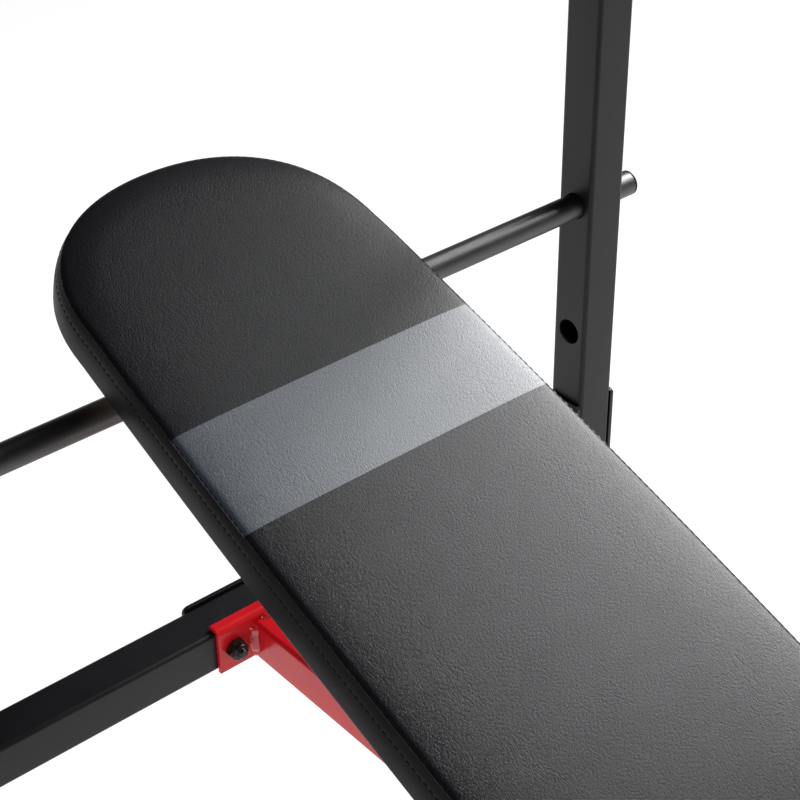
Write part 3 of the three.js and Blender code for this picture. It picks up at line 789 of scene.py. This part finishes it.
def knob_mesh(name, length):
    """A five-lobed hand knob on its screw, along +Z with the screw's end at Z = 0."""
    screw = length - KNOB_NECK - KNOB_GRIP
    grip = screw + KNOB_NECK
    full = 21.5 * MM

    def reach(angle, radius, z):
        if radius < 14 * MM:
            return radius
        return radius + 3 * MM * (radius / full) ** 2 * math.cos(5 * angle)

    profile = [(0, 0), (4 * MM, 0), (5 * MM, 1 * MM), (5 * MM, screw - 1 * MM)]
    profile += [(10.4 * MM, screw - 1 * MM), (11 * MM, screw - 0.4 * MM), (12.6 * MM, grip - 0.8 * MM)]
    round_over = 3 * MM
    top = grip + KNOB_GRIP
    rounding = [(round_over * (1 - math.cos(a)), round_over * (1 - math.sin(a))) for a in turns(15, 7)]
    lower = [(full - inset, grip + rise) for rise, inset in rounding]
    upper = [(full - inset, top - rise) for inset, rise in rounding]
    dish = [(17 * MM, top - 0.05 * MM), (15.5 * MM, top - 0.1 * MM), (14.5 * MM, top - 0.7 * MM)]
    dish += [(10 * MM, top - 1.1 * MM), (5 * MM, top - 1.25 * MM), (0, top - 1.3 * MM)]
    return mesh_of(name, *turned(profile + lower + upper + dish, 100, reach), 40)


for side, sign in SIDES:
    node = f"clamp_knob_{side}"
    out = sign * X
    mesh = knob_mesh(f"star_knob_{side}", size_along(node, X))
    stand(mesh, base_of(node, out), out, Y, BODY_OF[node], "black_plastic", [node])


# ---- Pads ----

PITCH = 6.1 * MM  # stitch to stitch
SPLIT = 4  # fine columns for each stitch
SEAM = 39 * MM  # height of the seam above the pad's rim
TOPSTITCH = SEAM - 10.5 * MM
CROWN_RISE = 1.0 * MM  # of the simulated crown over the rolled edge
BORDER_BULGE = 0.4 * MM
CORNER_PULL = 1.4 * MM  # of the rolled edge inwards, where the outline turns
CORNER_DROP = 2.0 * MM
SKIN = 1.6 * MM
HEM = 22 * MM  # length of skin under the rim
TIGHT_TURN = 90 * MM  # radius at which the outline turns sharply enough for the full corner pull

# The backrest's outline and stripe, up the slope from the bar.
SHOULDER = 20 * MM
HEAD_HEIGHT = 120 * MM  # of the rounded head over the shoulder
HEAD_HALF_WIDTH = 135.5 * MM
HEAD_ROUNDING = 2 / 2.25  # exponent of the head's curve, where 1 is an ellipse
FOOT = -700 * MM
STRIPE_HEAD = -92.5 * MM
STRIPE_FOOT = -184.8 * MM


def backrest_half_width(s):
    t = (SHOULDER - s) / (SHOULDER - FOOT)
    return HEAD_HALF_WIDTH + (32.9 * t - 24.6 * t * t) * MM


def backrest_half_outline():
    """The right half of the backrest's outline, from the head's middle to the foot's."""
    points = []
    for i in range(121):
        angle = math.radians(90 - 90 * i / 120)
        x = HEAD_HALF_WIDTH * math.cos(angle) ** HEAD_ROUNDING
        points.append((x, SHOULDER + HEAD_HEIGHT * math.sin(angle) ** HEAD_ROUNDING))
    radius = 40 * MM
    for i in range(1, 61):
        s = SHOULDER + (FOOT + radius - SHOULDER) * i / 60
        points.append((backrest_half_width(s), s))
    corner = backrest_half_width(FOOT) - radius
    for i in range(1, 25):
        angle = math.radians(90 * i / 24)
        x = corner + radius * math.cos(angle)
        points.append((x, FOOT + radius - radius * math.sin(angle)))
    points.append((0, FOOT))
    return [(x, s + BAR_ALONG) for x, s in points]


def seat_half_outline():
    low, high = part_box("seat_cover")
    half, length, radius = (high.x - low.x) / 2, (high.y - low.y) / 2, 42 * MM
    points = [(0, length)]
    for cy, start in ((length - radius, 90), (radius - length, 0)):
        for i in range(25):
            angle = math.radians(start - 90 * i / 24)
            points.append((half - radius + radius * math.cos(angle), cy + radius * math.sin(angle)))
    points.append((0, -length))
    return points


# Rings of the simulated skin: distance in from the outline, height above the rim, and share of the
# way to the spine.
ROLL = 18 * MM
COARSE = [(20, 0), (12, 0), (5, 0.1), (1.2, 1.4), (0, 6), (0, 14), (0, 22), (0, 30)]
COARSE += [(0.1, 37), (1.2, 39.4), (4.5, 41), (10, 42.1), (18, 42.4)]
COARSE = [(a * MM, z * MM, 0) for a, z in COARSE] + [(ROLL, 42.4 * MM, i / 10) for i in range(1, 11)]
HELD = 3  # rings of the hem that the board holds
CLOTH_FRAMES = 20
SEAM_RING = 9

# Rings of the finished skin: the same, with the topstitch groove, the seam's fold and the rolled edge.
FINE = [(21.6, 0.4), (21.4, 0), (16, 0), (10, 0), (6, 0), (4, 0.05), (2.6, 0.45), (1.4, 1.1), (0.6, 2.1)]
FINE += [(0.2, 3.4), (0, 5), (-0.2, 8.5), (-0.35, 12), (-0.45, 15.5), (-0.5, 19), (-0.4, 22), (-0.25, 24.5)]
FINE += [(-0.1, 26), (0, 26.9), (0.05, 27.5), (0.1, 28), (0.15, 28.5), (0.15, 29), (0.15, 29.5), (0.2, 30.1)]
FINE += [(0.35, 31.2), (0.65, 33), (1.1, 35), (1.5, 36.6), (1.75, 37.6), (1.95, 38.3), (2.25, 38.7)]
VALLEY = len(FINE) - 1
FINE += [(1.8, 38.8), (1.6, 39.05), (1.6, 39.3), (1.8, 39.5), (2.1, 39.55), (2.4, 39.6)]
SEAM_STITCH = len(FINE) - 1
FINE += [(2.8, 39.85), (3.3, 40.25), (4.1, 40.75), (5.4, 41.2)]
FINE = [(a * MM, z * MM, 0) for a, z in FINE]
LINED = [k for k in range(1, len(FINE), 2) if not 35.5 * MM < FINE[k][1] < 41 * MM]
BROAD = [(7.2, 41.5), (10, 41.77), (13.5, 42.01), (18, 42.24)]
BROAD = [(a * MM, z * MM, 0) for a, z in BROAD]
BROAD += [(ROLL, (42.24 + 0.7 * (1 - math.exp(-i / 2))) * MM, i / 16) for i in range(1, 17)]


def hermite(t, start, end, leaving, arriving):
    """A cubic from start to end that leaves and arrives at given rates."""
    return (
        (2 * t**3 - 3 * t**2 + 1) * start
        + (t**3 - 2 * t**2 + t) * leaving
        + (3 * t**2 - 2 * t**3) * end
        + (t**3 - t**2) * arriving
    )


def catmull(xs, ys, x):
    """A smooth curve through (xs, ys[k]), whose ys may be arrays."""
    k = int(np.clip(np.searchsorted(xs, x) - 1, 0, len(xs) - 2))
    h = xs[k + 1] - xs[k]
    t = (x - xs[k]) / h

    def slope(i):
        a, b = max(i - 1, 0), min(i + 1, len(xs) - 1)
        return (ys[b] - ys[a]) / (xs[b] - xs[a])

    return hermite(t, ys[k], ys[k + 1], h * slope(k), h * slope(k + 1))


def nearest_in(points):
    """A function that gives the number of the point nearest to a place."""
    tree = KDTree(len(points))
    for i, point in enumerate(points):
        tree.insert(Vector(point), i)
    tree.balance()
    return lambda place: tree.find(Vector(place))[1]


def travel(rings):
    """How far along the skin each ring lies from the hem, as a common measure for both sets of rings."""
    places = []
    for inset, height, share in rings:
        if height < 3 * MM and inset > 0.5 * MM:
            places.append(HEM - inset + height)
        elif height < SEAM - 0.25 * MM:
            places.append(HEM + height)
        else:
            places.append(HEM + SEAM - 1 * MM + 0.5 * (inset + height - SEAM) + 0.12 * share)
    return places


class Pad:
    """A sewn pad: a top panel and a side border round an outline, closed under its rim."""

    def __init__(self, name, place, half_outline, spine):
        self.name = name
        self.place = place
        self.coarse = self.symmetric(half_outline)
        self.count = len(self.coarse)
        self.fine = self.upsample(self.coarse)
        self.spine = spine
        self.moved = np.zeros((len(COARSE), self.count, 3))

    def symmetric(self, half):
        """Even points round the outline, a stitch apart, the same on both sides."""
        half = np.array(half)
        length = np.concatenate([[0], np.cumsum(np.linalg.norm(np.diff(half, axis=0), axis=1))])
        steps = round(length[-1] / PITCH)
        wanted = np.linspace(0, length[-1], steps + 1)
        right = np.column_stack([np.interp(wanted, length, half[:, k]) for k in (0, 1)])
        left = right[1:-1][::-1] * (-1, 1)
        return np.concatenate([right, left])

    def upsample(self, ring):
        """A ring with SPLIT columns for each of its own, smoothed so that no corner shows."""
        count = len(ring)
        wanted = np.arange(count * SPLIT) / SPLIT
        closed = np.concatenate([ring, ring[:1]])
        known = np.arange(count + 1)
        fine = np.column_stack([np.interp(wanted, known, column) for column in closed.T])
        for shift in (1, -1, 1, -1):
            fine = (fine + np.roll(fine, shift, axis=0)) / 2
        return fine

    def inward(self, outline):
        tangent = np.roll(outline, -1, axis=0) - np.roll(outline, 1, axis=0)
        tangent /= np.linalg.norm(tangent, axis=1)[:, None]
        return np.column_stack([tangent[:, 1], -tangent[:, 0]])

    def ring(self, outline, inset, height, share):
        """The points of a ring before the skin is simulated."""
        normal = self.inward(outline)
        heart = np.column_stack([np.zeros(len(outline)), np.clip(outline[:, 1], *self.spine)])
        span = heart - outline
        length = np.linalg.norm(span, axis=1)[:, None]
        f = inset / length * (1 - share) + share
        flat = hermite(f, outline, heart, normal * length, span)
        return np.column_stack([flat, np.full(len(outline), height)])

    def tightness(self):
        """How sharply the outline turns at each coarse point, from 0 to 1."""
        ahead = np.roll(self.coarse, -1, axis=0) - self.coarse
        heading = np.arctan2(ahead[:, 1], ahead[:, 0])
        turn = (np.roll(heading, 1) - heading + math.pi) % (2 * math.pi) - math.pi
        tight = np.clip(np.abs(turn) / PITCH * TIGHT_TURN, 0, 1)
        for _ in range(12):
            tight = (np.roll(tight, 1) + 2 * tight + np.roll(tight, -1)) / 4
        return tight

    def simulate(self):
        """Fills the skin with pressure while the board holds its hem, and keeps how far each point moves."""
        points, rows = numbered([self.ring(self.coarse, *row) for row in COARSE])
        mesh = raw_mesh("skin", points, bands(rows))
        work = opened(mesh)
        bmesh.ops.remove_doubles(work, verts=work.verts, dist=2 * MM)
        bmesh.ops.recalc_face_normals(work, faces=work.faces)
        stored(work, mesh)
        skin = added("skin", mesh)
        rest = np.array([v.co for v in mesh.vertices])
        number_at = nearest_in(points)
        held = skin.vertex_groups.new(name="held")
        for i, p in enumerate(rest):
            row = number_at(p) // self.count
            weight = 1.0 if row < HELD else 0.6 if row == SEAM_RING else 0.0
            if weight:
                held.add([i], weight, "REPLACE")
        cloth = skin.modifiers.new("cloth", "CLOTH")
        vinyl = cloth.settings
        vinyl.quality = 6
        vinyl.mass = 0.4
        vinyl.tension_stiffness = 40
        vinyl.compression_stiffness = 40
        vinyl.bending_stiffness = 4
        vinyl.use_pressure = True
        vinyl.uniform_pressure_force = 4
        vinyl.effector_weights.gravity = 0
        vinyl.vertex_group_mass = "held"
        cloth.collision_settings.use_collision = False
        cloth.point_cache.frame_end = CLOTH_FRAMES
        for number in range(1, CLOTH_FRAMES + 1):
            bpy.context.scene.frame_set(number)
        shape = skin.evaluated_get(bpy.context.evaluated_depsgraph_get()).to_mesh()
        after = np.array([v.co for v in shape.vertices])
        moved = after - rest
        bpy.context.scene.frame_set(1)
        bpy.data.objects.remove(skin)
        number_at = nearest_in(rest)
        found = [number_at(p) for p in points]
        self.moved = moved[found].reshape(len(COARSE), self.count, 3)

    def settle(self):
        """Scales the swelling to the pad's firm foam: a low crown and a slight bulge in the border."""
        rise = self.moved[SEAM_RING + 1 :, :, 2].max()
        if rise > 0:
            self.moved[:, :, 2] *= CROWN_RISE / rise
        side = np.abs(self.moved[:SEAM_RING, :, :2]).max()
        if side > 0:
            self.moved[:, :, :2] *= BORDER_BULGE / side

    def skin(self, rings, outline, fine):
        """The rings of the finished skin, with the simulated movement added."""
        known = travel(COARSE)
        tight = self.tightness()[:, None]
        drop = np.full(self.count, -CORNER_DROP)
        pull = np.column_stack([self.inward(self.coarse) * CORNER_PULL, drop]) * tight
        made = []
        for row, place in zip(rings, travel(rings)):
            moved = catmull(known, self.moved, min(max(place, known[0]), known[-1]))
            moved = moved + pull * math.exp(-(((place - HEM - SEAM) / (9 * MM)) ** 2))
            if fine:
                moved = self.upsample(moved)
            made.append(self.ring(outline, *row) + moved)
        return made

    def outward(self, rings):
        """Unit normals of a list of rings with the same number of points."""
        grid = np.array(rings)
        across = np.gradient(grid, axis=0)
        along = np.roll(grid, -1, axis=1) - np.roll(grid, 1, axis=1)
        normal = np.cross(across, along)
        normal /= np.maximum(np.linalg.norm(normal, axis=2), 1e-12)[:, :, None]
        return normal

    def sewn(self):
        """The fine rings, with the grooves that the stitches pull and the puff between the two lines."""
        rings = self.skin(FINE, self.fine, True)
        normals = self.outward(rings)
        phase = np.arange(self.count * SPLIT) / SPLIT
        pull = 0.5 + 0.5 * np.cos(2 * math.pi * phase)
        places = travel(FINE)
        for k, row in enumerate(FINE):
            for line, depth, width in ((TOPSTITCH, 0.3 * MM, 0.9 * MM), (SEAM, 0.15 * MM, 1.3 * MM)):
                off = (places[k] - HEM - line) / width
                if abs(off) < 3 and k <= VALLEY:
                    strength = depth * math.exp(-off * off) * (1 - pull)
                    rings[k] = rings[k] - normals[k] * strength[:, None]
            puff = (row[1] - TOPSTITCH) / (SEAM - TOPSTITCH)
            if 0 < puff < 1 and k < VALLEY:
                rings[k] = rings[k] + normals[k] * (0.25 * MM * math.sin(math.pi * puff))
        return rings

    def make(self, body, finishes, replaced, stripe=None):
        outer = self.sewn()
        broad = self.skin(BROAD, self.coarse, False)
        coarse_outer = [outer[k][::SPLIT] for k in LINED] + broad
        normals = self.outward(coarse_outer)
        self.inner = [r - n * SKIN for r, n in zip(coarse_outer, normals)]
        stack = outer + broad
        points, rows = numbered(stack + self.inner)
        lining = rows[len(stack) :]
        border = bands(rows[: VALLEY + 1])
        panel = bands(rows[VALLEY : len(stack)])
        inside = band(rows[0], lining[0]) + bands(lining)
        faces = border + panel + inside
        kinds = [1] * len(border) + [0] * len(panel) + [1] * len(inside)
        cover = self.cleaned(self.name + "_sewn_cover", points, faces, kinds, finishes, stripe)
        show(cover, body, "pad_cover", replaced)
        self.stitch(outer, body)

    def cleaned(self, name, points, faces, kinds, finishes, stripe=None):
        """A mesh in the pad's place without doubled points, whose faces have the kinds of finish listed."""
        mesh = raw_mesh(name, points, faces)
        for finish in finishes:
            mesh.materials.append(finish)
        mesh.polygons.foreach_set("material_index", kinds)
        work = opened(mesh)
        bmesh.ops.remove_doubles(work, verts=work.verts, dist=0.05 * MM)
        bmesh.ops.dissolve_degenerate(work, edges=work.edges, dist=0.02 * MM)
        bmesh.ops.recalc_face_normals(work, faces=work.faces)
        if stripe:
            paint_stripe(work, *stripe, finishes.index(SLATE))
        stored(work, mesh)
        mesh.transform(self.place)
        soften(mesh, 60)
        return mesh

    def stitch(self, outer, body):
        """Threads along the topstitch and in the seam."""
        normals = self.outward(outer)
        middle_row = min(range(len(FINE)), key=lambda k: abs(FINE[k][1] - TOPSTITCH))
        points, faces = [], []
        sides, stations = 6, 7
        for row, lift, thick in ((middle_row, 0.15 * MM, 0.5 * MM), (SEAM_STITCH, 0.05 * MM, 0.38 * MM)):
            ring, up = outer[row], normals[row]
            total = len(ring)
            for s in range(self.count):
                start = len(points)
                for t in range(stations):
                    u = t / (stations - 1) * 2 - 1
                    at = s * SPLIT + SPLIT / 2 + u * SPLIT * 0.34
                    low = math.floor(at) % total
                    high = (low + 1) % total
                    share = at % 1
                    spot = ring[low] * (1 - share) + ring[high] * share
                    normal = Vector(up[low])
                    ahead = Vector(ring[high] - ring[low]).normalized()
                    side = ahead.cross(normal).normalized()
                    rise = lift * (1 - 2.4 * abs(u) ** 3)
                    size = thick * (1 - 0.35 * u * u)
                    for angle in turns(360 / sides, sides):
                        reach = normal * math.sin(angle) + side * math.cos(angle)
                        points.append(Vector(spot) + normal * rise + reach * size)
                faces += sleeve(stations, sides, start)
        mesh = mesh_of(self.name + "_stitching", points, faces, 60)
        mesh.transform(self.place)
        show(mesh, body, "pad_cover", finish=THREAD)

    def core(self, body, replaced):
        """The foam block inside the cover, hollowed for the board."""
        normals = self.outward(self.inner)
        shell = [r - n * 0.5 * MM for r, n in zip(self.inner, normals)][2:]
        inset = 21.7 * MM
        pocket = [self.ring(self.coarse, inset, 5.2 * MM, s / 6) for s in range(6, -1, -1)]
        pocket.append(self.ring(self.coarse, inset, 3.4 * MM, 0))
        points, rows = numbered(pocket + shell)
        faces = bands(rows)
        name = self.name + "_foam_block"
        mesh = self.cleaned(name, points, faces, [0] * len(faces), [FINISHES["pad_foam"]])
        show(mesh, body, "pad_foam", replaced)


def paint_stripe(work, low, high, kind):
    """Cuts the top panel along two lines across the pad and gives the faces between them a material."""
    for y in (low, high):
        top = [face for face in work.faces if face.material_index == 0]
        edges = dict.fromkeys(edge for face in top for edge in face.edges)
        corners = dict.fromkeys(corner for face in top for corner in face.verts)
        geometry = top + list(edges) + list(corners)
        bmesh.ops.bisect_plane(work, geom=geometry, dist=0.01 * MM, plane_co=(0, y, 0), plane_no=(0, 1, 0))
    for face in work.faces:
        if face.material_index == 0 and low < face.calc_center_median().y < high:
            face.material_index = kind


def make_pads():
    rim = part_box("seat_cover")[0].z
    lift = rim - PIVOT.z
    spine = (BAR_ALONG - 0.55, BAR_ALONG + 0.01)
    backrest = Pad("backrest", BACKREST @ Matrix.Translation((0, 0, lift)), backrest_half_outline(), spine)
    seat_place = Matrix.Translation((0, middle("seat_cover").y, rim))
    seat = Pad("seat", seat_place, seat_half_outline(), (-20 * MM, 20 * MM))
    stripe = (BAR_ALONG + STRIPE_FOOT, BAR_ALONG + STRIPE_HEAD)
    for pad, body, across in ((backrest, "backrest", stripe), (seat, "frame", None)):
        pad.simulate()
        pad.settle()
        pad.make(body, [FINISHES["pad_cover"], BORDER, SLATE], [pad.name + "_cover"], across)
        pad.core(body, [pad.name + "_foam"])
        finish_node(pad.name + "_board", "pad_board", 0.3 * MM)


make_pads()


# ---- Floor, backdrop and light ----


def make_stage():
    """A large pale floor that is almost white wherever it is lit."""
    size = 30
    corners = [(-size, -size, 0), (size, -size, 0), (size, size, 0), (-size, size, 0)]
    floor = added("floor", raw_mesh("floor", corners, [[0, 1, 2, 3]]))
    finish = Finish("pale_floor", (0.25, 0.25, 0.25), 0.9, 0.0)
    finish.blend(finish.noise(1.5, 2), (0.245, 0.245, 0.245), (0.255, 0.255, 0.255))
    finish.set("Emission Color", (1, 1, 1, 1))
    finish.set("Emission Strength", 0.85)
    floor.data.materials.append(finish.material)


def make_world():
    """A dark studio with a pale wall low round the horizon."""
    world = bpy.data.worlds.new("studio")
    bpy.context.scene.world = world
    world.use_nodes = True
    tree = world.node_tree
    back = tree.nodes["Background"]
    coords = tree.nodes.new("ShaderNodeTexCoord")
    split = tree.nodes.new("ShaderNodeSeparateXYZ")
    ramp = tree.nodes.new("ShaderNodeValToRGB")
    tree.links.new(coords.outputs["Generated"], split.inputs[0])
    tree.links.new(split.outputs["Z"], ramp.inputs["Fac"])
    low, high = ramp.color_ramp.elements
    low.position, low.color = 0.1, (0.4, 0.4, 0.4, 1)
    high.position, high.color = 0.34, (0.05, 0.05, 0.055, 1)
    tree.links.new(ramp.outputs["Color"], back.inputs["Color"])


def add_light(name, heading, elevation, distance, width, height, radiance):
    """A softbox in a direction from the backrest's middle, turned to face it."""
    data = bpy.data.lights.new(name, "AREA")
    data.shape = "RECTANGLE"
    data.size, data.size_y = width, height
    data.energy = radiance * width * height * math.pi
    light = added(name, data)
    a, e = math.radians(heading), math.radians(elevation)
    away = Vector((math.sin(a) * math.cos(e), math.cos(a) * math.cos(e), math.sin(e)))
    target = BAR - SLOPE * 0.2
    facing = away.to_track_quat("Z", "Y").to_matrix().to_4x4()
    light.matrix_world = Matrix.Translation(target + away * distance) @ facing


make_stage()
make_world()
add_light("softbox", 86, 33, 2.5, 1.3, 1.2, 22.0)
add_light("fill", 72, 50, 2.5, 0.9, 0.9, 1.6)
add_light("side", 265, 8, 3.0, 1.6, 1.2, 3.2)
bpy.context.scene.view_settings.view_transform = "Standard"

# ---- Final update ----

bpy.context.view_layer.update()
